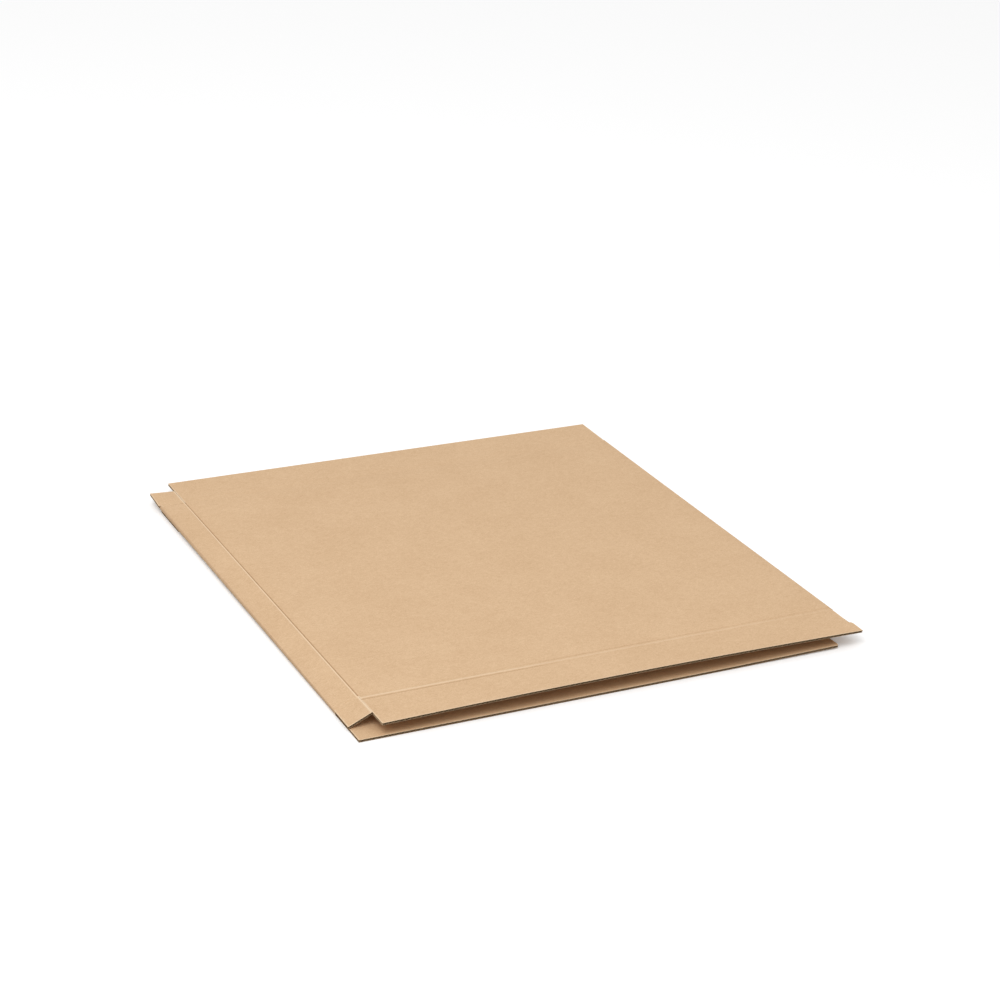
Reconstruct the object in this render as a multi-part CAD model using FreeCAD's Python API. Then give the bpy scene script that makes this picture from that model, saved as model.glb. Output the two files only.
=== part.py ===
import FreeCAD, Part
import math
import os

# A glued corrugated box folded flat: one creased sheet in a flat ring of two
# wide panels and two narrow walls, with an outer flap or a dust flap at each
# end of every panel. The front stands a little open, the back is almost shut.
# Millimetres. While it is built, x = 0 is the left fold, y = 0 the front edge
# and z = 0 the surface that it lies on.

# The board and the blank.
board_thickness = 3.0
panel_width = 600.0
panel_depth = 560.0
wall_width = 32.0
outer_flap_length = 60.0
dust_flap_length = 35.0
lap_width = 30.0
lap_thickness = 1.2
lap_taper = 12.0

# How it lies folded.
front_rise = 12.1
back_rise = 1.9
fold_gap = 0.6
tucked_flap_gap = 0.3
front_edge_bow = 3.2
left_fold_round_front = 1.0
left_fold_round_back = 2.6
left_fold_heel = 1.2
right_fold_round_front = 2.5
right_fold_round_back = 1.2
corner_curl = 1.7
curl_width = 240.0
back_dust_flap_lift = 2.5

# Creases, slits and the clearances of the free flaps.
crease_width = 2.4
crease_depth = 0.9
score_spacing = 8.6
score_width = 2.2
score_depth = 0.6
faint_score_depth = 0.25
slit_width = 0.4
front_flap_reach = 0.6
back_flap_reach = -0.5
ear_reach = 4.4
ear_round = 4.5
ear_gap = 1.5
hinge_gap = 0.3
front_dust_flap_reach = 0.3
back_dust_flap_reach = 3.5
cut_margin = 1.0

# Places that follow from the sizes above.
fold_radius = board_thickness + fold_gap / 2
wall_run = wall_width - fold_radius
front_crease = outer_flap_length
back_crease = outer_flap_length + panel_depth
back_edge = back_crease + outer_flap_length
tucked_edge = back_crease - outer_flap_length
panel_slope = (board_thickness + tucked_flap_gap) / (tucked_edge - front_crease)
lower_flap_left = fold_radius + slit_width / 2
lower_flap_right = panel_width - slit_width / 2


def point(x, y, z):
    return FreeCAD.Vector(x, y, z)


def underside(y):
    """Height of the lower panel's underside, lifted by the flap tucked under its back."""
    return panel_slope * (y - front_crease)


def between(front, back, y):
    """A value that runs evenly from the front crease to the back crease."""
    return front + (back - front) * (y - front_crease) / panel_depth


def wall_lean(y):
    """Angle at which the two narrow walls stand up from flat."""
    return math.asin((between(front_rise, back_rise, y) - fold_gap) / wall_run)


def ring(y):
    """Named points and directions of the flattened ring's section at y."""
    lean = wall_lean(y)
    along = point(math.cos(lean), 0, math.sin(lean))
    outward = point(-math.sin(lean), 0, math.cos(lean))
    up = point(0, 0, 1)
    floor_top = underside(y) + board_thickness
    left_fold = point(fold_radius, y, floor_top + fold_gap / 2)
    ridge_inside = left_fold + outward * (fold_gap / 2) + along * wall_run
    right_fold = ridge_inside + point(panel_width - fold_radius, 0, -fold_gap / 2)
    miter = board_thickness * math.tan(lean / 2)
    return {
        "along": along,
        "outward": outward,
        "lean": lean,
        "left_fold": left_fold,
        "right_fold": right_fold,
        "ridge_inside": ridge_inside,
        "ridge_outside": ridge_inside + point(-miter, 0, board_thickness),
        "corner_inside": point(panel_width, y, floor_top),
        "corner_outside": point(panel_width + miter, y, floor_top - board_thickness),
        "floor_left": left_fold - up * (fold_gap / 2),
        "floor_left_outside": left_fold - up * fold_radius + point(between(left_fold_heel, 0, y), 0, 0),
        "strip_left_inside": left_fold + outward * (fold_gap / 2),
        "strip_left_outside": left_fold + outward * fold_radius,
        "panel_right_inside": right_fold + up * (fold_gap / 2),
        "panel_right_outside": right_fold + up * fold_radius,
        "wall_right_inside": right_fold - outward * (fold_gap / 2),
        "wall_right_outside": right_fold - outward * fold_radius,
    }


def lines(points):
    """Straight edges through the points, in order."""
    return [Part.makeLine(a, b) for a, b in zip(points, points[1:])]


def fold_arc(start, end, side, height):
    """The round back of a fold, which stands out sideways by the given height."""
    middle = (start + end) * 0.5 + side * height
    return Part.Arc(start, middle, end).toShape()


def outer_wire(y):
    """The ring's outline, with a groove along the ridge and the lower right crease."""
    r = ring(y)
    half = crease_width / 2
    bisector = point(math.sin(r["lean"] / 2), 0, -math.cos(r["lean"] / 2))
    across = point(1, 0, 0)
    left_side = point(-math.cos(r["lean"] / 2), 0, -math.sin(r["lean"] / 2))
    ridge, corner = r["ridge_outside"], r["corner_outside"]
    left_round = between(left_fold_round_front, left_fold_round_back, y)
    right_round = between(right_fold_round_front, right_fold_round_back, y)
    edges = [fold_arc(r["floor_left_outside"], r["strip_left_outside"], left_side, left_round)]
    edges += lines([
        r["strip_left_outside"],
        ridge - r["along"] * half,
        ridge + bisector * crease_depth,
        ridge + across * half,
        r["panel_right_outside"],
    ])
    edges.append(fold_arc(r["panel_right_outside"], r["wall_right_outside"], left_side * -1, right_round))
    edges += lines([
        r["wall_right_outside"],
        corner + r["along"] * half,
        corner - bisector * crease_depth,
        corner - across * half,
        r["floor_left_outside"],
    ])
    return Part.Wire(edges)


def inner_wire(y):
    """The flat void inside the ring."""
    r = ring(y)
    names = ["floor_left", "corner_inside", "wall_right_inside",
             "panel_right_inside", "ridge_inside", "strip_left_inside", "floor_left"]
    return Part.Wire(lines([r[name] for name in names]))


def plate(near_corners, far_corners):
    """A board between two four-sided ends."""
    ends = [Part.Wire(lines(corners + corners[:1])) for corners in (near_corners, far_corners)]
    return Part.makeLoft(ends, True, True)


def score(y, z, left, right, depth, outward=1):
    """A shallow V tool along x that presses a score into a face at height z."""
    half = score_width / 2
    clearance = 0.1 * outward
    profile = [
        point(left, y - half, z + clearance),
        point(left, y, z - depth * outward),
        point(left, y + half, z + clearance),
    ]
    face = Part.Face(Part.Wire(lines(profile + profile[:1])))
    return face.extrude(point(right - left, 0, 0))


def top_height(y):
    """Height of the upper panel's top face."""
    return ring(y)["ridge_outside"].z


def sleeve():
    """The ring of four panels between the two rows of flap creases."""
    ends = (front_crease, back_crease)
    shell = Part.makeLoft([outer_wire(y) for y in ends], True, True)
    void = Part.makeLoft([inner_wire(y) for y in ends], True, True)
    shell = shell.cut(void)
    for y, depth in ((front_crease + score_spacing / 2, score_depth),
                     (back_crease - score_spacing / 2, faint_score_depth)):
        left = ring(y)["ridge_outside"].x + crease_width
        right = ring(y)["right_fold"].x
        shell = shell.cut(score(y, top_height(y), left, right, depth))
    return shell


def glue_lap():
    """The crushed, glued lap along the lower right crease, inside the ring."""
    def end(y, width):
        corner = ring(y)["corner_inside"]
        rise = point(0, 0, lap_thickness)
        bite = point(0, 0, board_thickness / 2)
        across = point(width, 0, 0)
        return [corner - bite, corner + rise, corner + rise - across, corner - bite - across]
    front = front_crease + lap_taper / 2
    back = back_crease - lap_taper / 2
    narrow = lap_width - lap_taper
    stations = [(front, narrow), (front + lap_taper, lap_width),
                (back - lap_taper, lap_width), (back, narrow)]
    spans = zip(stations, stations[1:])
    pieces = [plate(end(*near), end(*far)) for near, far in spans]
    return pieces[0].multiFuse(pieces[1:])


def lower_flap_end(y, curl):
    """The lower front flap's section at y, with its right corner curled up by the given height."""
    curl_start = lower_flap_right - curl_width

    def curled(z):
        start, end = point(curl_start, y, z), point(lower_flap_right, y, z + curl)
        if curl == 0:
            return Part.makeLine(start, end)
        middle = point((start.x + end.x) / 2, y, z + curl / 4)
        return Part.Arc(start, middle, end).toShape()
    flat = lines([
        point(curl_start, y, board_thickness),
        point(lower_flap_left, y, board_thickness),
        point(lower_flap_left, y, 0),
        point(curl_start, y, 0),
    ])
    side = Part.makeLine(point(lower_flap_right, y, curl), point(lower_flap_right, y, board_thickness + curl))
    return Part.Wire(flat + [curled(0), side, curled(board_thickness)])


def lower_front_flap():
    """The flap that lies on the surface in front of the lower panel."""
    board = Part.makeLoft([lower_flap_end(0, corner_curl), lower_flap_end(front_crease, 0)], True, True)
    y = front_crease - score_spacing / 2
    return board.cut(score(y, 0, 0, panel_width, score_depth, -1))


def lower_back_flap():
    """The flap folded flat under the lower panel's back edge, with its round fold."""
    x = lower_flap_left
    panel_bottom = underside(back_crease)
    panel_top = panel_bottom + board_thickness
    fold = Part.Arc(point(x, back_crease, 0),
                    point(x, back_crease + panel_top / 2, panel_top / 2),
                    point(x, back_crease, panel_top)).toShape()
    edges = [fold]
    edges += lines([
        point(x, back_crease, panel_top),
        point(x, back_crease, panel_bottom),
        point(x, back_crease, board_thickness),
        point(x, tucked_edge, board_thickness),
        point(x, tucked_edge, 0),
        point(x, back_crease, 0),
    ])
    return Part.Face(Part.Wire(edges)).extrude(point(lower_flap_right - lower_flap_left, 0, 0))


def right_dust_flap(crease, free_end):
    """A dust flap of the right wall, under the upper panel's outer flap."""
    def end(y):
        r = ring(y)
        foot = r["corner_inside"] + r["along"] * (slit_width + board_thickness * math.sin(r["lean"]))
        tip = r["wall_right_inside"] - r["along"] * slit_width
        down = r["outward"] * -board_thickness
        return [foot, tip, tip + down, foot + down]
    return plate(end(crease), end(free_end))


def left_dust_flap(crease, free_end, reach, lift):
    """A dust flap of the left wall, free to fold up and back, with its outer corner lifted."""
    def end(y, raised):
        r = ring(y)
        rise = point(0, 0, raised)
        slope = math.cos(r["lean"])
        foot = r["strip_left_inside"] - r["along"] * reach + rise
        tip = r["ridge_inside"] - r["along"] * (slit_width / 2 / slope)
        upright = point(0, 0, board_thickness / slope)
        return [foot, tip, tip + upright, foot + r["outward"] * board_thickness]
    return plate(end(crease, 0), end(free_end, lift))


def flap_end(y, z, left, right, bow):
    """The end of an outer flap at y, with both faces bowed up by the given height."""
    top = z + board_thickness
    middle = (left + right) / 2

    def face_edge(height, start, end):
        if bow == 0:
            return Part.makeLine(point(start, y, height), point(end, y, height))
        crown = point(middle, y, height + bow)
        return Part.Arc(point(start, y, height), crown, point(end, y, height)).toShape()
    return Part.Wire([
        face_edge(z, left, right),
        Part.makeLine(point(right, y, z), point(right, y, top)),
        face_edge(top, right, left),
        Part.makeLine(point(left, y, top), point(left, y, z)),
    ])


def ear_notch(fold_x, low, high):
    """The cut that narrows the front flap beside the dust flap and leaves an ear ahead of it."""
    side = fold_x + front_flap_reach
    ear = fold_x + ear_reach
    ear_start = front_crease - dust_flap_length - ear_gap
    ear_full = ear_start - ear_round
    turn = math.sqrt(0.5)
    middle = point(side + (ear - side) * turn, ear_start - ear_round * (1 - turn), low)
    corner = Part.Arc(point(side, ear_start, low), middle, point(ear, ear_full, low)).toShape()
    beyond = lines([
        point(ear, ear_full, low),
        point(ear + cut_margin, ear_full, low),
        point(ear + cut_margin, front_crease + cut_margin, low),
        point(side, front_crease + cut_margin, low),
        point(side, ear_start, low),
    ])
    return Part.Face(Part.Wire([corner] + beyond)).extrude(point(0, 0, high - low))


def upper_flap(crease, free_end, bow, depth, reach):
    """An outer flap of the upper panel, level from its crease to its free edge."""
    way = 1 if free_end > crease else -1
    r = ring(crease)
    hinge_end = crease + way * hinge_gap
    left = r["ridge_inside"].x + slit_width / 2
    right = r["right_fold"].x + reach
    z = r["ridge_inside"].z
    ends = [flap_end(hinge_end, z, left, right, 0), flap_end(free_end, z, left, right, bow)]
    board = Part.makeLoft(ends, True, True)
    y = crease + way * score_spacing / 2
    crown_here = bow * score_spacing / 2 / outer_flap_length
    return board.cut(score(y, z + board_thickness + crown_here / 2, left, right, depth))


def upper_front_flap():
    """The front outer flap, with its bowed edge and its ear at the right."""
    board = upper_flap(front_crease, 0, front_edge_bow, score_depth, ear_reach)
    box = board.BoundBox
    fold_x = ring(front_crease)["right_fold"].x
    return board.cut(ear_notch(fold_x, box.ZMin - cut_margin, box.ZMax + cut_margin))


def box_body():
    """Everything that stays put: the sleeve, its lap and the flaps that are held."""
    front_end = front_crease - dust_flap_length
    back_end = back_crease + dust_flap_length
    pieces = [
        glue_lap(),
        lower_front_flap(),
        lower_back_flap(),
        right_dust_flap(front_crease, front_end),
        right_dust_flap(back_crease, back_end),
    ]
    return sleeve().multiFuse(pieces).removeSplitter()


def build():
    """Every node, moved so that the origin is at the bottom centre."""
    front_end = front_crease - dust_flap_length
    back_end = back_crease + dust_flap_length
    nodes = {
        "box_body": box_body(),
        "upper_front_flap": upper_front_flap(),
        "upper_back_flap": upper_flap(back_crease, back_edge, 0, faint_score_depth, back_flap_reach),
        "left_front_dust_flap": left_dust_flap(front_crease - hinge_gap, front_end,
                                               front_dust_flap_reach, 0),
        "left_back_dust_flap": left_dust_flap(back_crease + hinge_gap, back_end,
                                              back_dust_flap_reach, back_dust_flap_lift),
    }
    whole = Part.makeCompound(list(nodes.values())).BoundBox
    to_origin = point(-whole.Center.x, -whole.Center.y, -whole.ZMin)
    for shape in nodes.values():
        shape.translate(to_origin)
    return nodes, to_origin


def main():
    os.makedirs("parts", exist_ok=True)
    nodes, to_origin = build()
    for name, shape in nodes.items():
        box = shape.BoundBox
        print(name, "solids", len(shape.Solids), "valid", shape.isValid(),
              "volume", round(shape.Volume),
              "size", round(box.XLength, 2), round(box.YLength, 2), round(box.ZLength, 2))
        shape.exportStep("parts/" + name + ".step")
    print("moved by", round(to_origin.x, 3), round(to_origin.y, 3), round(to_origin.z, 3))


main()
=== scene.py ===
import math

import bmesh
import bpy
from mathutils import Matrix, Vector, noise


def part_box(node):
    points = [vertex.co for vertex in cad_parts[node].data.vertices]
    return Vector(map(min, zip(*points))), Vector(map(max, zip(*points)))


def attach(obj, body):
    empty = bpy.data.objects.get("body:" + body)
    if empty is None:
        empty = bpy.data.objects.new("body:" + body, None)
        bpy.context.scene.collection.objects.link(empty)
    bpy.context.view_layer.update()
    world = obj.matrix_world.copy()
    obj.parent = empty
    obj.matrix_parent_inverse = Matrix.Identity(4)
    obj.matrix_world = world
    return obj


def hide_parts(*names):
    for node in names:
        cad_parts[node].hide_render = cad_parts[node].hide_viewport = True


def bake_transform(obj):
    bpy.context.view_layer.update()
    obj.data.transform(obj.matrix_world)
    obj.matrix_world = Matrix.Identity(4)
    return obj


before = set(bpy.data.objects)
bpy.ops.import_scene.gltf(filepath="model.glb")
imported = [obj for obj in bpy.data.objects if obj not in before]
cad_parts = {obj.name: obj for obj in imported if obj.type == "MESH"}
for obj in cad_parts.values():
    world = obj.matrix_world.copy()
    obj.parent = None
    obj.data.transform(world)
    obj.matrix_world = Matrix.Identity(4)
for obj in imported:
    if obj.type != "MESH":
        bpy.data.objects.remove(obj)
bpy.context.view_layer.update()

# A glued corrugated box folded flat. Every board is built as two thin liners with a
# waved fluting sheet between them, so that cut edges show their flutes from any side.
# Metres, z up. x runs across the flutes, y along them.

board = {
    "thickness": 0.003,
    "liner": 0.00032,
    "fluting": 0.00026,
    "flutePitch": 0.0063,
    "stepsPerFlute": 10,
    "facet": 0.024,          # longest step of a flat face
    "flapRow": 0.012,        # longest steps along and across the flaps
    "tuckRow": 0.015,
    "dustColumn": 0.006,
    "bendStep": 0.0005,
    "fluteRow": 0.1,         # longer than a flap, so that only its bends split the fluting
    "lastFlute": 0.002,
    "pinch": 0.10,           # how far the knife squeezes a cut edge, as a share of the thickness
    "pinchReach": 0.0014,
    "ragged": 0.00012,
    "raggedScale": (700, 50, 3.1),   # across and along the flutes, and the noise's layer
    "raggedOuter": 0.6,
    "cutReach": 0.02,        # the distance to a cut edge is stored up to here
    "linerMost": 0.4,        # a liner's largest share of a squeezed board
    "sharpAngle": 40,
    "edgeSteps": (0.0004, 0.0009, 0.0016, 0.003, 0.007),
}

sleeve = {
    "panelWidth": 0.600,
    "foldGap": 0.0006,       # air inside the two flat folds
    "wallWidth": 0.032,
    "lapWidth": 0.030,
    "lapThickness": 0.0012,
    "jog": 0.003,            # where the wall thins down into the lap
    "jogUnder": 0.1,         # its step on the outer and on the inner face, as shares of it
    "jogAbove": 0.6,
    "jogRuns": (0.8, 0.4),   # the sheet's lengths before and after the step
    "lapSeam": 0.0006,
    "creaseHalf": 0.0009,
    "creaseDepth": 0.0009,
    "creaseAside": 0.0006,   # the groove lies this far from the ridge, on the upper panel
    "paintedLight": 0.0010,           # half the width of the painted highlight along the ridge
    # how light the painted highlight along the ridge is
    "paintedLightTone": 0.75,
    "foldShade": 0.35,       # how dark the painted shade along the backs of the flat folds is, and over what width
    "foldShadeHalf": 0.7,
    "seam": 0.0043,          # the sleeve's boards end in the score this far behind the crease
    "leftRound": (0.0010, 0.0026),   # how far each fold's back stands out, front and back
    "rightRound": (0.0025, 0.0012),
    "leftHeel": 0.0012,
    "seamFade": 0.010,
    "seamStep": 0.0002,
    "warp": 0.0003,
    "warpScale": 5.0,
    "warpStretch": 0.6,      # the waves are longer along the flutes
    "warpLayer": 0.37,
    "lift": 0.0003,          # air over the flap tucked under the back
}

flaps = {
    "slit": 0.0004,
    "hingeGap": 0.0003,
    "outerLength": 0.060,
    "dustLength": 0.035,
    "besideDust": 0.0006,    # how far the front flap reaches over the right fold
    "earGap": 0.0015,
    "earRound": 0.0045,
    "earSteps": 6,
    "edgeZone": 0.012,
    "frontReach": 0.0003,
    "backReach": 0.0035,
    "backLift": 0.0025,
    "footRate": 30,          # how fast a dust flap's foot steps out past its crease
    "cornerCurl": 0.0017,
    "curlWidth": 0.240,
    "cornerRound": 0.003,
    "cornerReach": 0.02,
    "bow": 0.0032,
    "bendBehind": 0.0022,    # the crease bends between these two distances
    "bendAhead": 0.0034,
}

rounding = 1e-9              # what two equal sums may differ by
mergeStep = 1e-5             # places closer than this count as one
onEdge = 1e-6                # a row this close to a cut is the cut

frontLow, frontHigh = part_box("upper_front_flap")
backLow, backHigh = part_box("upper_back_flap")

thickness = board["thickness"]
innerRadius = sleeve["foldGap"] / 2
foldRadius = thickness + innerRadius
foldLength = math.pi * foldRadius / 2
wallRun = sleeve["wallWidth"] - foldRadius
frontCrease = frontHigh.y + flaps["hingeGap"]
backCrease = backLow.y - flaps["hingeGap"]
frontEdge = frontLow.y
backEdge = backHigh.y
frontSeam = frontCrease + sleeve["seam"]
backSeam = backCrease - sleeve["seam"]
frontDustEnd = frontCrease - flaps["dustLength"]
backDustEnd = backCrease + flaps["dustLength"]
tuckedEdge = backCrease - flaps["outerLength"]
lowerSlope = (thickness + sleeve["lift"]) / (tuckedEdge - frontCrease)


def lerp(a, b, t):
    return a + (b - a) * t


def smooth(t):
    t = min(max(t, 0.0), 1.0)
    return t * t * (3 - 2 * t)


def hump(distance, half):
    # 1 at the middle, falling smoothly to 0 at half
    return smooth(1 - abs(distance) / half)


def lowerBottom(y):
    # the lower panel's underside, which rises over the flap tucked under its back
    return max(0.0, lowerSlope * (y - frontCrease))


def spaced(start, end, longest):
    count = max(1, math.ceil(abs(end - start) / longest - rounding))
    return [lerp(start, end, i / count) for i in range(count + 1)]


def stations(marks, longest, fine=()):
    # even steps between the marks, with the fine places added
    places = []
    for a, b in zip(marks, marks[1:]):
        places += spaced(a, b, longest)
    low, high = min(marks), max(marks)
    places += [p for p in fine if low < p < high]
    places.sort()
    kept = [places[0]]
    for place in places[1:]:
        if place - kept[-1] > mergeStep:
            kept.append(place)
    return kept


def nearEdges(low, high):
    # extra places beside two cut edges
    return [low + d for d in board["edgeSteps"]] + [high - d for d in board["edgeSteps"]]


def around(centre, half, count=8):
    return [centre + half * (2 * i / count - 1) for i in range(count + 1)]


print("stage: section of the flattened ring")

up = Vector((0, 1))


def leftFoldBelow(y, ridge):
    # the middle of the left fold lies one narrow wall down from the ridge
    drop = ridge.y - lowerBottom(y) - thickness - innerRadius
    reach = math.hypot(wallRun, innerRadius)
    return ridge - Vector((math.sqrt(reach * reach - drop * drop), drop))


def bulge(start, end, height):
    # an arc from start to end that stands out by the height, as a function from 0 to 1
    chord = end - start
    half = chord.length / 2
    way = Vector((chord.y, -chord.x)).normalized()
    radius = (half * half + height * height) / (2 * height)
    centre = (start + end) / 2 + way * (height - radius)
    first = math.atan2(start.y - centre.y, start.x - centre.x)
    sweep = 2 * math.atan2(half, radius - height)
    return lambda t: centre + radius * Vector((math.cos(first + sweep * t), math.sin(first + sweep * t)))


def straightRun(near, far):
    # from one (inner, outer) pair to the next
    return lambda t: (near[0].lerp(far[0], t), near[1].lerp(far[1], t))


def foldRun(centre, start, end, outer):
    # round the fold's small inner arc, with the outer face given as a function
    def shape(t):
        angle = lerp(start, end, t)
        return centre + innerRadius * Vector((math.cos(angle), math.sin(angle))), outer(t)
    return shape


class Section:
    # The ring's path across one end: the lap, the right wall, the right fold, the upper
    # panel, the left strip, the left fold and the lower panel. Points are (x, z).
    def __init__(self, y, ridge, leftRound, rightRound, heel):
        self.ridge = ridge
        self.leftFold = leftFoldBelow(y, ridge)
        self.rightFold = ridge + Vector((sleeve["panelWidth"] - foldRadius, -innerRadius))
        self.corner = Vector((self.leftFold.x - foldRadius + sleeve["panelWidth"],
                              lowerBottom(y) + thickness))
        run = ridge - self.leftFold
        self.lean = math.atan2(run.y, run.x) - math.atan2(innerRadius, wallRun)
        self.along = Vector((math.cos(self.lean), math.sin(self.lean)))
        self.outward = Vector((-self.along.y, self.along.x))
        miter = Vector((thickness * math.tan(self.lean / 2), -thickness))
        self.cornerOutside = self.corner + miter
        self.ridgeOutside = ridge - miter
        self.parts = self.lapParts() + self.upperParts(rightRound) + self.lowerParts(leftRound, heel)
        self.starts = {}
        self.length = 0.0
        for name, length, shape in self.parts:
            self.starts[name] = self.length
            self.length += length

    def wallFoot(self):
        return self.corner + self.along * sleeve["jog"] * sleeve["jogAbove"], self.cornerOutside

    def lapParts(self):
        jog, corner = sleeve["jog"], self.corner
        lapTop = up * sleeve["lapThickness"]
        lapEdge = corner - Vector((sleeve["lapWidth"], 0))
        jogStart = corner - Vector((jog, 0))
        jogMiddle = (corner + lapTop, corner - Vector((jog * sleeve["jogUnder"], 0)))
        before, after = sleeve["jogRuns"]
        return [
            ("lap", sleeve["lapWidth"] - jog, straightRun(
                (lapEdge + lapTop, lapEdge), (jogStart + lapTop, jogStart))),
            ("jogIn", jog * before, straightRun((jogStart + lapTop, jogStart), jogMiddle)),
            ("jogDown", jog * after, straightRun(jogMiddle, self.wallFoot())),
        ]

    def upperParts(self, rightRound):
        fold = self.rightFold
        below = fold - self.outward * foldRadius
        above = fold + up * foldRadius
        return [
            ("wall", wallRun - sleeve["jog"], straightRun(
                self.wallFoot(), (fold - self.outward * innerRadius, below))),
            ("rightFold", foldLength, foldRun(
                fold, self.lean - math.pi / 2, math.pi / 2, bulge(below, above, rightRound))),
            ("upper", sleeve["panelWidth"] - foldRadius, straightRun(
                (fold + up * innerRadius, above), (self.ridge, self.ridgeOutside))),
        ]

    def lowerParts(self, leftRound, heel):
        fold = self.leftFold
        above = fold + self.outward * foldRadius
        heelPoint = fold + Vector((heel, -foldRadius))
        lowerEnd = self.corner - Vector((sleeve["lapSeam"], 0))
        return [
            ("strip", wallRun, straightRun(
                (self.ridge, self.ridgeOutside), (fold + self.outward * innerRadius, above))),
            ("leftFold", foldLength, foldRun(
                fold, self.lean + math.pi / 2, math.pi * 3 / 2, bulge(above, heelPoint, leftRound))),
            ("lower", sleeve["panelWidth"] - foldRadius - sleeve["lapSeam"], straightRun(
                (fold - up * innerRadius, heelPoint), (lowerEnd, lowerEnd - up * thickness))),
        ]

    def at(self, s):
        for name, length, shape in self.parts:
            if s <= self.starts[name] + length + rounding:
                return shape((s - self.starts[name]) / length)
        return self.parts[-1][2](1.0)


ridgeAside = Vector((flaps["slit"] / 2, 0))
frontSection = Section(frontCrease, Vector((frontLow.x, frontLow.z)) - ridgeAside,
                       sleeve["leftRound"][0], sleeve["rightRound"][0], sleeve["leftHeel"])
backSection = Section(backCrease, Vector((backLow.x, backLow.z)) - ridgeAside,
                      sleeve["leftRound"][1], sleeve["rightRound"][1], 0.0)
lowerLeft = frontSection.leftFold.x + flaps["slit"] / 2
lowerRight = frontSection.corner.x - flaps["slit"] / 2
starts = frontSection.starts
upperStart, ridgeAt = starts["upper"], starts["strip"]
leftFoldAt, lowerStart = starts["leftFold"], starts["lower"]
sheetEnd = frontSection.length
lapCreaseAt = starts["jogDown"]
ridgeGroove = ridgeAt - sleeve["creaseAside"]
lengths = {name: length for name, length, shape in frontSection.parts}
flatFolds = ("rightFold", "leftFold")


def depthShare(y):
    return (y - frontCrease) / (backCrease - frontCrease)


def ringPoint(s, y):
    # inner and outer (x, z) of the ring at any y, drawn straight between its two ends
    t = depthShare(y)
    frontPair, backPair = frontSection.at(s), backSection.at(s)
    return frontPair[0].lerp(backPair[0], t), frontPair[1].lerp(backPair[1], t)


def upperness(s):
    # 1 on the upper panel, fading to 0 down the two narrow walls
    if s < starts["wall"] or s > leftFoldAt:
        return 0.0
    if s < starts["rightFold"]:
        return (s - starts["wall"]) / lengths["wall"]
    if s > ridgeAt:
        return 1 - (s - ridgeAt) / lengths["strip"]
    return 1.0


def sag(x, y):
    # the slow unevenness of the upper panel and its flaps, never above the flat plane
    place = Vector((x, y * sleeve["warpStretch"], sleeve["warpLayer"])) * sleeve["warpScale"]
    return -sleeve["warp"] * (0.5 + 0.5 * noise.noise(place))


scores = {
    "offset": 0.0043,
    "half": 0.0012,
    "frontDepth": 0.0006,
    "backDepth": 0.00022,
    "lowerDepth": 0.0004,
    "turnOver": 0.36,        # share of the width where the front score changes sides
    "turnBand": 0.10,
    "weaker": 0.45,          # the fainter line's depth, and the one behind at its deepest
    "behindMost": 0.8,
    "wander": 0.0002,        # how far the lines stray from straight
    "wanderScale": 9,
    "wanderLayer": 1.7,
    "deepest": 0.4,          # deepest dent, as a share of the thickness
    "through": 0.3,          # how much of a dent shows on the other face
    "lowerThrough": 0.5,
    # painted light on the front score: a painted highlight on the band between its lines, painted shade in
    # the lines themselves
    "highlightAhead": 0.0009,
    "highlightHalf": 0.0022,
    "paintedLightTone": 0.55,
    "highlightLoss": 0.5,
    "scoreShade": 0.95,
    "toneHalf": 0.8,
    "aheadTone": (1.0, 0.15),    # left and right of the turn
    "behindTone": (0.1, 0.55),
    "fadeFrom": 0.6,         # the tones fade by this share towards the right end
    "fadeBy": 0.6,
}


def acrossScore(x):
    # the share of the width, and 0 to 1 where the front score changes sides
    share = (x - frontSection.ridge.x) / sleeve["panelWidth"]
    return share, smooth((share - scores["turnOver"]) / scores["turnBand"] + 0.5)


def frontScoreDent(x, y):
    # two pressed lines either side of the crease; the right one fades out to the left
    share, over = acrossScore(x)
    stray = noise.noise(Vector((x * scores["wanderScale"], scores["wanderLayer"], 0)))
    wander = scores["wander"] * stray
    ahead = hump(y - frontCrease + scores["offset"] + wander, scores["half"])
    behind = hump(y - frontCrease - scores["offset"] + wander, scores["half"])
    aheadDepth = ahead * lerp(1.0, scores["weaker"], over)
    behindDepth = behind * lerp(scores["weaker"], scores["behindMost"], over)
    return scores["frontDepth"] * (aheadDepth + behindDepth)


def scoreTone(x, y):
    # painted shade in the pressed lines of the front score, and a painted highlight on the band between
    # them
    share, over = acrossScore(x)
    fade = 1 - scores["fadeBy"] * smooth((share - scores["fadeFrom"]) / (1 - scores["fadeFrom"]))
    half = scores["half"] * scores["toneHalf"]
    ahead = hump(y - frontCrease + scores["offset"], half) * lerp(*scores["aheadTone"], over)
    behind = hump(y - frontCrease - scores["offset"], half) * lerp(*scores["behindTone"], over)
    paintedHighlight = hump(y - frontCrease + scores["highlightAhead"], scores["highlightHalf"])
    paintedHighlight *= scores["paintedLightTone"] * (1 - scores["highlightLoss"] * over)
    return (paintedHighlight - (ahead + behind) * scores["scoreShade"]) * fade


def ridgeTone(s):
    # painted shade in the groove beside the ridge, and a painted highlight on the strip's side of it
    groove = hump(s - ridgeGroove, sleeve["creaseHalf"])
    paintedHighlight = hump(s - ridgeAt - sleeve["paintedLight"], sleeve["paintedLight"])
    return paintedHighlight * sleeve["paintedLightTone"] - groove


def foldTone(s):
    # painted shade: the two flat folds are a little darker along their backs
    tone = 0.0
    for name in flatFolds:
        middle = starts[name] + lengths[name] / 2
        tone -= sleeve["foldShade"] * hump(s - middle, lengths[name] * sleeve["foldShadeHalf"])
    return tone


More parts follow.
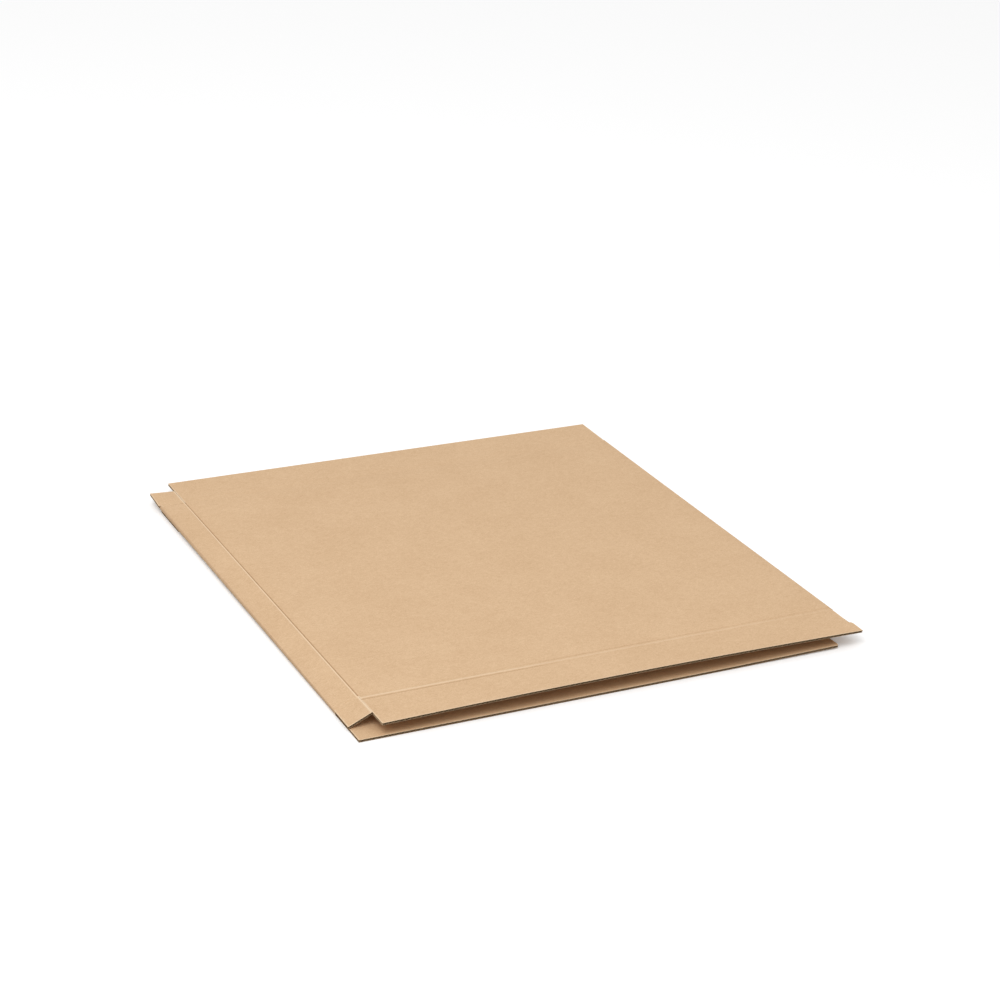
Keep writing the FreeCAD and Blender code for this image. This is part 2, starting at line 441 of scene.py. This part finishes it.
def plainScoreDent(crease, depth):
    def dent(x, y):
        near = hump(y - crease + scores["offset"], scores["half"])
        far = hump(y - crease - scores["offset"], scores["half"])
        return depth * (near + far)
    return dent


frontPlainDent = plainScoreDent(frontCrease, scores["lowerDepth"])
backPlainDent = plainScoreDent(backCrease, scores["backDepth"])


def shallow(dent):
    return min(dent, thickness * scores["deepest"])


def pressed(pair, outerDent, innerDent):
    # both faces pushed towards each other
    inner, outer = pair
    way = (inner - outer).normalized()
    return inner - way * innerDent, outer + way * outerDent


def flat(pair, y):
    inner, outer = pair
    return Vector((inner.x, y, inner.y)), Vector((outer.x, y, outer.y))


def inFold(s):
    return any(starts[name] - rounding <= s <= starts[name] + lengths[name] + rounding
               for name in flatFolds)


def foldReach(s, y):
    # the folds run on past the seam, as far as the crease
    if not inFold(s):
        return y
    if y < frontSeam + sleeve["seamFade"]:
        return y - sleeve["seam"] * (1 - (y - frontSeam) / sleeve["seamFade"])
    if y > backSeam - sleeve["seamFade"]:
        return y + sleeve["seam"] * (1 - (backSeam - y) / sleeve["seamFade"])
    return y


def sleeveFaces(s, y):
    y = foldReach(s, y)
    inner, outer = ringPoint(s, y)
    crease = hump(s - ridgeGroove, sleeve["creaseHalf"]) + hump(s - lapCreaseAt, sleeve["creaseHalf"])
    if upperStart < s < ridgeAt:
        dent = frontScoreDent(outer.x, y) + backPlainDent(outer.x, y)
    else:
        dent = frontPlainDent(outer.x, y) + backPlainDent(outer.x, y)
    outerDent = shallow(sleeve["creaseDepth"] * crease + dent)
    inner, outer = flat(pressed((inner, outer), outerDent, dent * scores["through"]), y)
    drop = Vector((0, 0, sag(outer.x, y) * upperness(s)))
    return inner + drop, outer + drop


outerFace, innerFace, cutFace = 0, 1, 2    # places in the list of papers


def noTone(s, r):
    return 0.0


class Board:
    # One corrugated board: two liners and the fluting, each a closed thin skin.
    def __init__(self, name, columns, rows, faces, sheet, cutColumns=(), cutRows=(), fluteRows=None,
                 tone=noTone, raggedEnds=True):
        self.name, self.tone = name, tone
        self.columns, self.rows = columns, rows
        self.faces, self.sheet = faces, sheet
        self.cutColumns, self.cutRows = cutColumns, cutRows
        self.fluteRows = fluteRows or rows
        self.raggedEnds = raggedEnds and bool(cutRows)
        self.points, self.quads, self.finish = [], [], []
        self.places, self.cuts, self.tones = [], [], []

    def cutDistance(self, s, r):
        gaps = [abs(s - c) for c in self.cutColumns] + [abs(r - c) for c in self.cutRows]
        return min(gaps + [board["cutReach"]])

    def pair(self, s, r):
        inner, outer = self.faces(s, r)
        gap = self.cutDistance(s, r)
        squeeze = board["pinch"] * (1 - smooth(gap / board["pinchReach"]))
        inner, outer = inner.lerp(outer, squeeze / 2), outer.lerp(inner, squeeze / 2)
        if self.raggedEnds and min(abs(r - c) for c in self.cutRows) < onEdge:
            way = 1 if (self.rows[0] + self.rows[-1]) / 2 > r else -1
            across, along, layer = board["raggedScale"]
            torn = way * board["ragged"] * (1 + noise.noise(Vector((s * across, r * along, layer))))
            inner.y += torn
            outer.y += torn * board["raggedOuter"]
        return inner, outer

    def skin(self, columns, rows, low, high, finish):
        # a closed thin grid between two height functions of (s, r, local thickness)
        first = len(self.points)
        width, depth = len(columns), len(rows)
        for side in (low, high):
            for r in rows:
                for s in columns:
                    inner, outer = self.pair(s, r)
                    share = side(s, r, (outer - inner).length)
                    self.points.append(inner.lerp(outer, share))
                    a, b = self.sheet(s, r)
                    self.places.append((a, b, share * thickness))
                    self.cuts.append(self.cutDistance(s, r))
                    self.tones.append(self.tone(s, r))
        top = width * depth

        def index(i, j):
            return first + j * width + i

        lowFinish, highFinish, edgeFinish = finish
        for j in range(depth - 1):
            for i in range(width - 1):
                square = (index(i, j), index(i + 1, j), index(i + 1, j + 1), index(i, j + 1))
                self.quads.append(square)
                self.finish.append(lowFinish)
                self.quads.append(tuple(n + top for n in reversed(square)))
                self.finish.append(highFinish)
        border = [index(i, 0) for i in range(width)]
        border += [index(width - 1, j) for j in range(1, depth)]
        border += [index(i, depth - 1) for i in range(width - 2, -1, -1)]
        border += [index(0, j) for j in range(depth - 2, 0, -1)]
        for a, b in zip(border, border[1:] + border[:1]):
            self.quads.append((b, a, a + top, b + top))
            self.finish.append(edgeFinish)

    def store(self, mesh, name, kind, field, values):
        mesh.attributes.new(name, kind, "POINT").data.foreach_set(field, values)

    def build(self, materials):
        def linerShare(local):
            return min(board["linerMost"], board["liner"] / local)

        def wave(s, r, local, side):
            half = board["fluting"] / local / 2
            reach = max(0.0, 0.5 - linerShare(local) - half)
            turn = math.cos(2 * math.pi * self.sheet(s, r)[0] / board["flutePitch"])
            return 0.5 + reach * turn + side * half

        flute = spaced(self.columns[0], self.columns[-1], board["flutePitch"] / board["stepsPerFlute"])
        self.skin(self.columns, self.rows,
                  lambda s, r, local: 1 - linerShare(local), lambda s, r, local: 1.0,
                  (cutFace, outerFace, cutFace))
        self.skin(self.columns, self.rows,
                  lambda s, r, local: 0.0, lambda s, r, local: linerShare(local),
                  (innerFace, cutFace, cutFace))
        self.skin(flute, self.fluteRows,
                  lambda s, r, local: wave(s, r, local, -1), lambda s, r, local: wave(s, r, local, 1),
                  (cutFace, cutFace, cutFace))
        mesh = bpy.data.meshes.new(self.name)
        mesh.from_pydata([tuple(p) for p in self.points], [], self.quads)
        for material in materials:
            mesh.materials.append(material)
        mesh.polygons.foreach_set("material_index", self.finish)
        self.store(mesh, "sheetPlace", "FLOAT_VECTOR", "vector", [n for p in self.places for n in p])
        self.store(mesh, "cutDistance", "FLOAT", "value", self.cuts)
        # painted light and shade, which the paper turns into colour
        self.store(mesh, "paintedLightTone", "FLOAT", "value", self.tones)
        shape = bmesh.new()
        shape.from_mesh(mesh)
        bmesh.ops.recalc_face_normals(shape, faces=shape.faces)
        shape.to_mesh(mesh)
        shape.free()
        mesh.polygons.foreach_set("use_smooth", [True] * len(mesh.polygons))
        mesh.set_sharp_from_angle(angle=math.radians(board["sharpAngle"]))
        piece = bpy.data.objects.new(self.name, mesh)
        bpy.context.scene.collection.objects.link(piece)
        print("built", self.name, len(mesh.polygons), "faces")
        return piece


print("stage: kraft paper")


class Wire:
    # a shader socket that can be written in plain sums
    def __init__(self, maker, socket):
        self.maker, self.socket = maker, socket

    def math(self, operation, a, b):
        return self.maker.node("ShaderNodeMath", {"operation": operation}, {0: a, 1: b})

    def __add__(self, other):
        return self.math("ADD", self, other)

    def __radd__(self, other):
        return self.math("ADD", other, self)

    def __sub__(self, other):
        return self.math("SUBTRACT", self, other)

    def __rsub__(self, other):
        return self.math("SUBTRACT", other, self)

    def __mul__(self, other):
        return self.math("MULTIPLY", self, other)

    def __rmul__(self, other):
        return self.math("MULTIPLY", other, self)


class Maker:
    # builds one node tree
    def __init__(self, owner):
        owner.use_nodes = True
        self.tree = owner.node_tree
        self.tree.nodes.clear()

    def node(self, kind, settings=None, values=None, output=0):
        made = self.tree.nodes.new(kind)
        for name, value in (settings or {}).items():
            setattr(made, name, value)
        for name, value in (values or {}).items():
            if isinstance(value, Wire):
                self.tree.links.new(value.socket, made.inputs[name])
            else:
                made.inputs[name].default_value = value
        return Wire(self, made.outputs[output])

    def finish(self, kind, surface):
        output = self.tree.nodes.new(kind)
        self.tree.links.new(surface.socket, output.inputs["Surface"])

    def mix(self, factor, a, b):
        colours = {6: a if isinstance(a, Wire) else (*a, 1), 7: b if isinstance(b, Wire) else (*b, 1)}
        return self.node("ShaderNodeMix", {"data_type": "RGBA"}, {0: factor, **colours}, 2)

    def stretch(self, vector, scale):
        return self.node("ShaderNodeVectorMath", {"operation": "MULTIPLY"}, {0: vector, 1: scale})

    def cloud(self, vector, scale, detail, roughness):
        values = {"Vector": vector, "Scale": scale, "Detail": detail, "Roughness": roughness}
        return self.node("ShaderNodeTexNoise", {}, values, "Fac") - 0.5

    def between(self, value, low, high):
        # 0 at low, 1 at high, clamped
        return self.node("ShaderNodeMapRange", {"clamp": True},
                         {"Value": value, "From Min": low, "From Max": high}, "Result")


kraft = {
    "light": (0.790, 0.560, 0.352),
    "dark": (0.600, 0.388, 0.218),
    "fleckDark": (0.26, 0.15, 0.08),
    "fleckLight": (0.88, 0.72, 0.52),
    # worn: the pale fibre fuzz at cut edges, and also the colour of the painted highlights
    "worn": (0.92, 0.73, 0.52),
    # pressed: the colour of painted shade in the grooves, the score lines and along the fold backs
    "pressed": (0.40, 0.24, 0.13),
    "rough": 0.86,
    "relief": 0.00005,
    "washboard": 0.35,
}

innerKraft = dict(kraft, light=(0.760, 0.530, 0.325), dark=(0.570, 0.362, 0.198))

rawEdge = dict(
    kraft,
    light=(0.46, 0.31, 0.18),
    dark=(0.20, 0.12, 0.06),
    worn=(0.50, 0.36, 0.22),
    rough=0.95,
    relief=0.00012,
    washboard=0.0,
)

paperClouds = {
    # scale, detail and roughness, then the shares in the colour and in the relief
    "mottle": (14.0, 3.0, 0.5, 0.35, 0.0),
    "smudge": (120.0, 2.0, 0.5, 0.35, 0.0),
    "grain": (620.0, 2.0, 0.7, 1.15, 0.6),
    "fibre": (900.0, 2.0, 0.6, 0.85, 0.9),
    "thread": (1500.0, 1.0, 0.5, 0.5, 0.4),
}

cloudStretch = {"fibre": (0.22, 1.0, 1.0), "thread": (1.0, 0.35, 1.0)}

specks = [
    # spacing, size, share of the cells, strength, colour, and the cloud whose stretch they share
    (0.011, 0.00055, 0.35, 0.55, "fleckDark", ""),
    (0.0042, 0.0004, 0.30, 0.25, "fleckDark", "fibre"),
    (0.0065, 0.0006, 0.30, 0.35, "fleckLight", ""),
]

paperWearAndPaintedLight = {
    "cutNear": 0.0002,       # the pale fuzz beside a cut edge, partly a painted highlight, full and gone
    "cutFar": 0.0016,
    "fuzzGrain": (-0.35, 0.15),
    "fuzzAndHighlight": 0.8,
    # how strongly the stored tone paints highlights and painted shade
    "paintedHighlight": 0.85,
    "pressed": 0.75,
    "roughSpread": 0.12,
    "shine": 0.22,
    "speckCore": 0.5,        # a speck is full up to this share of its radius
    "speckRamp": 0.8,        # how sharply specks are picked
}


def speckMask(maker, place, spacing, size, share):
    # small round specks, present in a share of the cells of a loose grid
    cells = {"Vector": place, "Scale": 1 / spacing, "Randomness": 1.0}
    gap = maker.node("ShaderNodeTexVoronoi", {"feature": "F1"}, cells, "Distance")
    colour = maker.node("ShaderNodeTexVoronoi", {"feature": "F1"}, cells, "Color")
    pick = maker.node("ShaderNodeSeparateColor", {}, {"Color": colour}, "Red")
    radius = size / spacing
    dot = 1 - maker.between(gap, radius * paperWearAndPaintedLight["speckCore"], radius)
    return dot * maker.between(pick, 1 - share, 1 - share * paperWearAndPaintedLight["speckRamp"])


def kraftMaterial(name, look):
    material = bpy.data.materials.new(name)
    maker = Maker(material)

    def stored(attribute, output="Fac"):
        return maker.node("ShaderNodeAttribute", {"attribute_name": attribute}, {}, output)

    place, cut, paintedLight = stored("sheetPlace", "Vector"), stored("cutDistance"), stored("paintedLightTone")
    stretched = {key: maker.stretch(place, stretch) for key, stretch in cloudStretch.items()}
    across = maker.node("ShaderNodeSeparateXYZ", {}, {"Vector": place}, "X")
    turn = across * (2 * math.pi / board["flutePitch"])
    relief = maker.node("ShaderNodeMath", {"operation": "COSINE"}, {0: turn}) * look["washboard"]
    clouds, tone = {}, 0.5
    for key, (scale, detail, roughness, inTone, inRelief) in paperClouds.items():
        clouds[key] = maker.cloud(stretched.get(key, place), scale, detail, roughness)
        tone = tone + clouds[key] * inTone
        if inRelief:
            relief = relief + clouds[key] * inRelief
    colour = maker.mix(maker.between(tone, 0.0, 1.0), look["dark"], look["light"])
    for spacing, size, share, strength, speckColour, like in specks:
        mask = speckMask(maker, stretched.get(like, place), spacing, size, share)
        colour = maker.mix(mask * strength, colour, look[speckColour])
    # pale cut edges: partly real fibre fuzz, partly a painted highlight along the edge
    besideCut = 1 - maker.between(cut, paperWearAndPaintedLight["cutNear"], paperWearAndPaintedLight["cutFar"])
    fuzzAndHighlight = besideCut * maker.between(clouds["grain"], *paperWearAndPaintedLight["fuzzGrain"])
    colour = maker.mix(fuzzAndHighlight * paperWearAndPaintedLight["fuzzAndHighlight"], colour, look["worn"])
    # the stored tone: painted highlights where it is above 0, painted shade where it is below
    colour = maker.mix(maker.between(paintedLight, 0.0, 1.0) * paperWearAndPaintedLight["paintedHighlight"], colour, look["worn"])
    colour = maker.mix(maker.between(paintedLight, 0.0, -1.0) * paperWearAndPaintedLight["pressed"], colour, look["pressed"])
    bump = maker.node("ShaderNodeBump", {},
                      {"Strength": 1.0, "Distance": look["relief"], "Height": relief})
    rough = look["rough"] + clouds["smudge"] * paperWearAndPaintedLight["roughSpread"]
    shader = maker.node("ShaderNodeBsdfPrincipled", {}, {
        "Base Color": colour, "Roughness": rough, "Normal": bump,
        "Specular IOR Level": paperWearAndPaintedLight["shine"],
    }, "BSDF")
    maker.finish("ShaderNodeOutputMaterial", shader)
    return material


linerPaper = kraftMaterial("kraft_liner", kraft)
innerPaper = kraftMaterial("kraft_inner_liner", innerKraft)
cutPaper = kraftMaterial("kraft_cut_edge", rawEdge)
papers = [linerPaper, innerPaper, cutPaper]

print("stage: sleeve")


def sleeveColumns():
    marks = [starts[name] for name in starts] + [sheetEnd]
    fine = around(ridgeGroove, sleeve["creaseHalf"]) + around(lapCreaseAt, sleeve["creaseHalf"])
    fine += around(ridgeAt + sleeve["paintedLight"], sleeve["paintedLight"])
    for name in flatFolds:
        low, high = starts[name], starts[name] + lengths[name]
        fine += spaced(low, high, board["bendStep"]) + [low - sleeve["seamStep"], high + sleeve["seamStep"]]
    fine += nearEdges(0.0, sheetEnd)
    return stations(marks, board["facet"], fine)


def scoreRows(crease):
    places = []
    for way in (-1, 1):
        places += around(crease + way * scores["offset"], scores["half"])
    return places


def sleeveTone(s, y):
    # painted light and shade along the ridge, the folds and the front score
    tone = ridgeTone(s) + foldTone(s)
    if upperStart < s < ridgeAt:
        tone += scoreTone(ringPoint(s, y)[1].x, y)
    return tone


def makeSleeve():
    rows = stations([frontSeam, backSeam], board["facet"], scoreRows(frontCrease) + scoreRows(backCrease))
    ends = [frontSeam, frontSeam + scores["half"], backSeam - scores["half"], backSeam]
    made = Board("sleeve_board", sleeveColumns(), rows, sleeveFaces, lambda s, y: (s, y),
                 cutColumns=(0.0, sheetEnd), fluteRows=ends, tone=sleeveTone)
    piece = made.build(papers)
    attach(piece, "box")
    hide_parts("box_body")


makeSleeve()

print("stage: outer flaps")


def bendRows(crease, way):
    return spaced(crease - way * flaps["bendBehind"], crease + way * flaps["bendAhead"], board["bendStep"])


def freeEdgeRows(free, way):
    return [free - way * d for d in board["edgeSteps"]]


def outerFlap(name, node, section, crease, free, bow, scoreDent, eared, tone):
    low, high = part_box(node)
    way = 1 if free > crease else -1
    seam = crease - way * sleeve["seam"]
    dustEnd = crease + way * flaps["dustLength"]
    left, right = low.x, high.x
    flush = section.rightFold.x + flaps["besideDust"] if eared else right
    seamX = section.rightFold.x - sleeve["seamStep"]
    zone = right - flaps["edgeZone"]
    earStart = dustEnd + way * flaps["earGap"]

    def edgeX(y):
        # flush with the fold as far as the dust flap reaches, then a rounded ear
        if way * (y - crease) < 0:
            return seamX
        past = min(max(way * (y - earStart) / flaps["earRound"], 0.0), 1.0)
        return lerp(flush, right, math.sqrt(1 - (1 - past) ** 2))

    def faces(x, y):
        past = max(0.0, way * (y - crease)) / flaps["outerLength"]
        u = (x - left) / (right - left)
        base = ringPoint((upperStart + ridgeAt) / 2, y)[0].y if way * (y - crease) < 0 else section.ridge.y
        z = base + bow * past * 4 * u * (1 - u) + sag(x, y)
        placed = x if x < zone else lerp(zone, edgeX(y), (x - zone) / (right - zone))
        dent = shallow(scoreDent(x, y))
        return Vector((placed, y, z + dent * scores["through"])), Vector((placed, y, z + thickness - dent))

    def sheet(x, y):
        return ridgeAt - (x - section.ridge.x), y

    columns = stations([left, right], board["facet"], nearEdges(left, right) + [zone])
    turns = [math.pi / 2 * k / flaps["earSteps"] for k in range(flaps["earSteps"] + 1)]
    ear = [earStart + way * flaps["earRound"] * (1 - math.cos(turn)) for turn in turns]
    edges = freeEdgeRows(free, way)
    bend = bendRows(crease, way)
    rows = stations([min(seam, free), max(seam, free)], board["flapRow"],
                    scoreRows(crease) + ear + edges + bend)
    flutes = stations([min(seam, free), max(seam, free)], board["fluteRow"],
                      [crease - way * flaps["bendBehind"], crease, crease + way * flaps["bendAhead"]]
                      + bend[1::2] + ear[1::3] + edges[1:3])
    made = Board(name, columns, rows, faces, sheet, cutColumns=(left, right), cutRows=(free,),
                 fluteRows=flutes, tone=tone)
    piece = made.build(papers)
    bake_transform(piece)
    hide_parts(node)


outerFlap("upper_front_board", "upper_front_flap", frontSection, frontCrease, frontEdge,
          flaps["bow"], frontScoreDent, True, scoreTone)
outerFlap("upper_back_board", "upper_back_flap", backSection, backCrease, backEdge,
          0.0, backPlainDent, False, noTone)


def lowerFrontFlap():
    left, right = lowerLeft, lowerRight

    def faces(x, y):
        past = max(0.0, (frontCrease - y) / flaps["outerLength"])
        curl = max(0.0, 1 - (right - x) / flaps["curlWidth"]) ** 2 * flaps["cornerCurl"] * past
        bottom = lowerBottom(y) + curl
        dent = frontPlainDent(x, y)
        through = dent * scores["lowerThrough"]
        missing = max(0.0, 1 - (right - x) / flaps["cornerRound"])
        worn = flaps["cornerRound"] * (1 - math.sqrt(1 - missing * missing))
        shown = y + worn * smooth(1 - (y - frontEdge) / flaps["cornerReach"])
        return Vector((x, shown, bottom + thickness - through)), Vector((x, shown, bottom + dent))

    def sheet(x, y):
        return lowerStart + (x - frontSection.leftFold.x), y

    corner = spaced(right - flaps["cornerRound"], right, board["bendStep"])
    columns = stations([left, right], board["facet"], nearEdges(left, right) + corner)
    edges = freeEdgeRows(frontEdge, -1)
    rows = stations([frontEdge, frontSeam], board["flapRow"], scoreRows(frontCrease) + edges)
    flutes = [frontEdge, frontEdge + board["edgeSteps"][1], frontSeam - board["lastFlute"], frontSeam]
    made = Board("lower_front_board", columns, rows, faces, sheet, cutColumns=(left, right),
                 cutRows=(frontEdge,), fluteRows=flutes)
    piece = made.build(papers)
    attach(piece, "box")
    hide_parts("box_body")


def lowerBackFlap():
    # runs back from the sleeve, turns under and comes forward again along the surface
    left, right = lowerLeft, lowerRight
    panelTop = lowerBottom(backCrease) + thickness
    centre = Vector((backCrease, panelTop / 2))
    wide = panelTop / 2
    tight = wide - thickness
    flatRun = backCrease - backSeam
    turnRun = math.pi * (wide + tight) / 2
    tuckRun = backCrease - tuckedEdge
    end = flatRun + turnRun + tuckRun

    def faces(x, r):
        if r <= flatRun:
            y = backSeam + r
            dent = backPlainDent(x, y)
            bottom = lowerBottom(y)
            return Vector((x, y, bottom + thickness)), Vector((x, y, bottom + dent))
        if r <= flatRun + turnRun:
            angle = math.pi / 2 - math.pi * (r - flatRun) / turnRun
            way = Vector((math.cos(angle), math.sin(angle)))
            inner, outer = centre + way * wide, centre + way * tight
            return Vector((x, inner.x, inner.y)), Vector((x, outer.x, outer.y))
        y = backCrease - (r - flatRun - turnRun)
        return Vector((x, y, 0.0)), Vector((x, y, thickness))

    def sheet(x, r):
        return lowerStart + (x - frontSection.leftFold.x), backSeam + r

    columns = stations([left, right], board["facet"], nearEdges(left, right))
    turn = spaced(flatRun, flatRun + turnRun, board["bendStep"])
    edges = freeEdgeRows(end, 1)
    rows = stations([0.0, end], board["tuckRow"], turn + edges)
    flutes = stations([0.0, end], board["fluteRow"], turn[::2] + [end - board["edgeSteps"][1]])
    made = Board("lower_back_board", columns, rows, faces, sheet, cutColumns=(left, right),
                 cutRows=(end,), fluteRows=flutes, raggedEnds=False)
    piece = made.build(papers)
    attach(piece, "box")
    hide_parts("box_body")


lowerFrontFlap()
lowerBackFlap()

print("stage: dust flaps")


def strung(name, crease, free, near, far, sheetAt, scoreDent, tone):
    # a board strung between two sloping edges, each a function of y giving (inner, outer)
    width = (far(crease)[0] - near(crease)[0]).length

    def faces(s, y):
        nearPair, farPair = near(y), far(y)
        pair = nearPair[0].lerp(farPair[0], s / width), nearPair[1].lerp(farPair[1], s / width)
        dent = shallow(scoreDent(0.0, y))
        return flat(pressed(pair, dent, dent * scores["through"]), y)

    way = 1 if free > crease else -1
    seam = crease - way * sleeve["seam"]
    columns = stations([0.0, width], board["dustColumn"], nearEdges(0.0, width))
    edges = freeEdgeRows(free, way)
    bend = bendRows(crease, way)
    rows = stations([min(seam, free), max(seam, free)], board["flapRow"], scoreRows(crease) + edges + bend)
    made = Board(name, columns, rows, faces, lambda s, y: (sheetAt + s, y), cutColumns=(0.0, width),
                 cutRows=(free,), tone=tone)
    return made.build(papers)


def pairLine(edge):
    # an edge's (inner, outer) pair at any y, from its pairs at the two creases
    front, back = edge(frontSection), edge(backSection)

    def at(y):
        t = depthShare(y)
        return front[0].lerp(back[0], t), front[1].lerp(back[1], t)
    return at


def leftDustFlap(name, node, section, crease, free, reach, lift):
    way = 1 if free > crease else -1

    def tipEdge(end):
        # cut upright along the slit, so that it meets the upper panel's edge squarely
        slope = math.cos(end.lean)
        tip = end.ridge - end.along * (flaps["slit"] / 2 / slope)
        return tip, tip + up * (thickness / slope)

    def footEdge(end):
        foot = end.leftFold + end.outward * innerRadius
        return foot, foot + end.outward * thickness

    footAt = pairLine(footEdge)

    def foot(y):
        # the free part reaches out past the fold, and its corner may stand up
        past = way * (y - crease) / flaps["dustLength"]
        shift = up * lift * max(0.0, past) - section.along * reach * smooth(past * flaps["footRate"] + 0.5)
        inner, outer = footAt(y)
        return inner + shift, outer + shift

    dent = frontPlainDent if free < crease else backPlainDent
    # the tip beside the ridge carries the same painted highlight as the ridge
    piece = strung(name, crease, free, pairLine(tipEdge), foot, ridgeAt, dent,
                   lambda s, y: sleeve["paintedLightTone"] * hump(s - sleeve["paintedLight"], sleeve["paintedLight"]))
    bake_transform(piece)
    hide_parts(node)


def rightDustFlap(name, crease, free):
    def footEdge(end):
        foot = end.corner + end.along * (flaps["slit"] + thickness * math.sin(end.lean))
        return foot, foot - end.outward * thickness

    def tipEdge(end):
        tip = end.rightFold - end.outward * innerRadius - end.along * flaps["slit"]
        return tip, tip - end.outward * thickness

    dent = frontPlainDent if free < crease else backPlainDent
    piece = strung(name, crease, free, pairLine(footEdge), pairLine(tipEdge), starts["wall"], dent,
                   noTone)
    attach(piece, "box")
    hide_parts("box_body")


leftDustFlap("left_front_dust_board", "left_front_dust_flap", frontSection, frontCrease, frontDustEnd,
             flaps["frontReach"], 0.0)
leftDustFlap("left_back_dust_board", "left_back_dust_flap", backSection, backCrease, backDustEnd,
             flaps["backReach"], flaps["backLift"])
rightDustFlap("right_front_dust_board", frontCrease, frontDustEnd)
rightDustFlap("right_back_dust_board", backCrease, backDustEnd)

print("stage: floor, light and camera")

light = {
    "skyLow": 0.30,         # the sky's strength at the horizon, and what is added straight up
    "skyRise": 0.66,
    "softboxPower": 42.0,
    "softboxSize": 2.2,
    "softboxPlace": (-1.5, -1.2, 2.9),
    "floorBounce": 0.62,
    "floorGlow": 0.16,      # added to the floor where the camera sees it
    "floorSize": 60.0,
    "floorDrop": 0.0002,
}


def seenDirectly(maker):
    # 1 for rays that show the background itself, straight on or in a reflection
    rays = [maker.node("ShaderNodeLightPath", {}, {}, name)
            for name in ("Is Camera Ray", "Is Glossy Ray", "Is Transmission Ray")]
    either = maker.node("ShaderNodeMath", {"operation": "MAXIMUM"}, {0: rays[0], 1: rays[1]})
    return maker.node("ShaderNodeMath", {"operation": "MAXIMUM"}, {0: either, 1: rays[2]})


def makeFloor():
    half = light["floorSize"] / 2
    drop = -light["floorDrop"]
    corners = [(-half, -half, drop), (half, -half, drop), (half, half, drop), (-half, half, drop)]
    mesh = bpy.data.meshes.new("floor")
    mesh.from_pydata(corners, [], [(0, 1, 2, 3)])
    floor = bpy.data.objects.new("floor", mesh)
    bpy.context.scene.collection.objects.link(floor)
    material = bpy.data.materials.new("pale_floor")
    maker = Maker(material)
    seen = seenDirectly(maker)
    bounce, glow = light["floorBounce"], light["floorGlow"]
    colour = maker.mix(seen, (bounce, bounce, bounce), (1.0, 1.0, 1.0))
    lit = maker.node("ShaderNodeBsdfDiffuse", {}, {"Color": colour}, "BSDF")
    shown = maker.mix(seen, (0.0, 0.0, 0.0), (glow, glow, glow))
    glowing = maker.node("ShaderNodeEmission", {}, {"Color": shown}, "Emission")
    surface = maker.node("ShaderNodeAddShader", {}, {0: lit, 1: glowing}, "Shader")
    maker.finish("ShaderNodeOutputMaterial", surface)
    mesh.materials.append(material)


def makeSky():
    world = bpy.data.worlds.new("studio")
    bpy.context.scene.world = world
    maker = Maker(world)
    toward = maker.node("ShaderNodeTexCoord", {}, {}, "Generated")
    height = maker.node("ShaderNodeSeparateXYZ", {}, {"Vector": toward}, "Z")
    above = light["skyLow"] + maker.between(height, 0.0, 1.0) * light["skyRise"]
    strength = above + seenDirectly(maker) * (1 - above)
    background = maker.node("ShaderNodeBackground", {}, {"Color": (1, 1, 1, 1), "Strength": strength}, 0)
    maker.finish("ShaderNodeOutputWorld", background)


def makeSoftbox():
    lamp = bpy.data.lights.new("softbox", "AREA")
    lamp.energy = light["softboxPower"]
    lamp.size = light["softboxSize"]
    softbox = bpy.data.objects.new("softbox", lamp)
    softbox.location = light["softboxPlace"]
    softbox.rotation_mode = "QUATERNION"
    softbox.rotation_quaternion = (-Vector(light["softboxPlace"])).to_track_quat("-Z", "Y")
    bpy.context.scene.collection.objects.link(softbox)


photoView = {
    "imageSize": 1000,
    "focalPixels": 2483.3,
    "yaw": 27.427,
    "pitch": 23.804,
    "roll": 2.991,
    "place": (-1.2352, -2.4098, 1.2826),
    "sensor": 36.0,
}


def makeCamera():
    yaw, pitch, roll = (math.radians(photoView[name]) for name in ("yaw", "pitch", "roll"))
    forward = Vector((math.sin(yaw) * math.cos(pitch), math.cos(yaw) * math.cos(pitch), -math.sin(pitch)))
    level = Vector((math.cos(yaw), -math.sin(yaw), 0))
    above = level.cross(forward)
    right = math.cos(roll) * level + math.sin(roll) * above
    top = -math.sin(roll) * level + math.cos(roll) * above
    lens = bpy.data.cameras.new("photo_camera")
    lens.sensor_width = photoView["sensor"]
    lens.lens = photoView["focalPixels"] / photoView["imageSize"] * photoView["sensor"]
    camera = bpy.data.objects.new("photo_camera", lens)
    turn = Matrix((right, top, -forward)).transposed().to_4x4()
    camera.matrix_world = Matrix.Translation(Vector(photoView["place"])) @ turn
    bpy.context.scene.collection.objects.link(camera)
    bpy.context.scene.camera = camera


makeFloor()
makeSky()
makeSoftbox()
makeCamera()
bpy.context.scene.view_settings.view_transform = "Standard"

bpy.context.view_layer.update()
print("stage: done")
